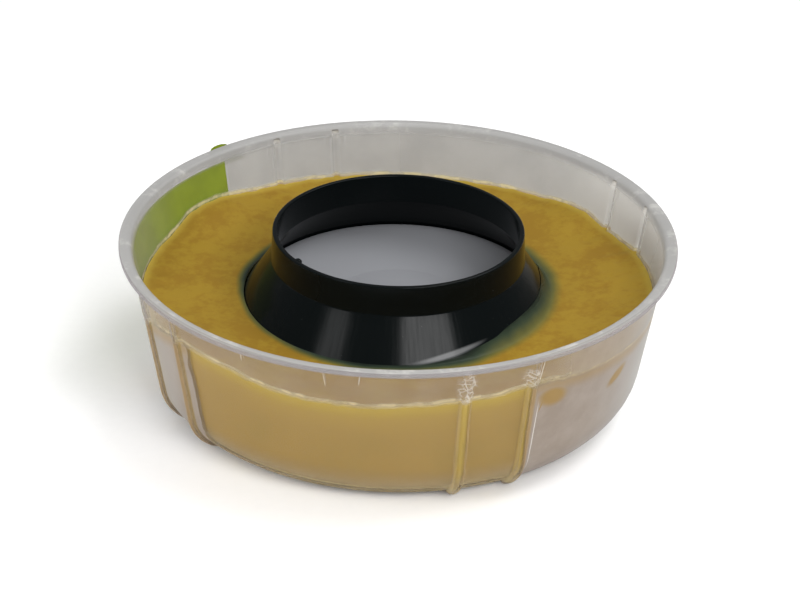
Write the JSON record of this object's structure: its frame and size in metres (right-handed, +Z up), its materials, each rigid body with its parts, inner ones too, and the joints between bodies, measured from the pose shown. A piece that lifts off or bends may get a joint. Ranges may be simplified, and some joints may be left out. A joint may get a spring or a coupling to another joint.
{
  "type": "toilet pan wax seal with horn, in its tub",
  "caption": "Round wax toilet pan seal with a black plastic horn, cast in a thin translucent flanged tub with outward flutes and a bare green label.",
  "frame": {"origin": "middle of the tub's flat base, on the plane that it stands on", "axes": "+Z up along the axis of the ring, out of the horn; -Y towards the side that the picture shows"},
  "size_m": [0.15, 0.15, 0.0481],
  "materials": {
    "tub_plastic": "thin milky translucent polypropylene, satin",
    "wax": "amber petroleum wax, soft satin",
    "horn_plastic": "black polyethylene, softly glossy",
    "label_paper": "plain green film label, bare"
  },
  "bodies": {
    "root": {"tub": "tub_plastic", "wax_ring": "wax", "horn": "horn_plastic", "label": "label_paper"}
  },
  "joints": []
}
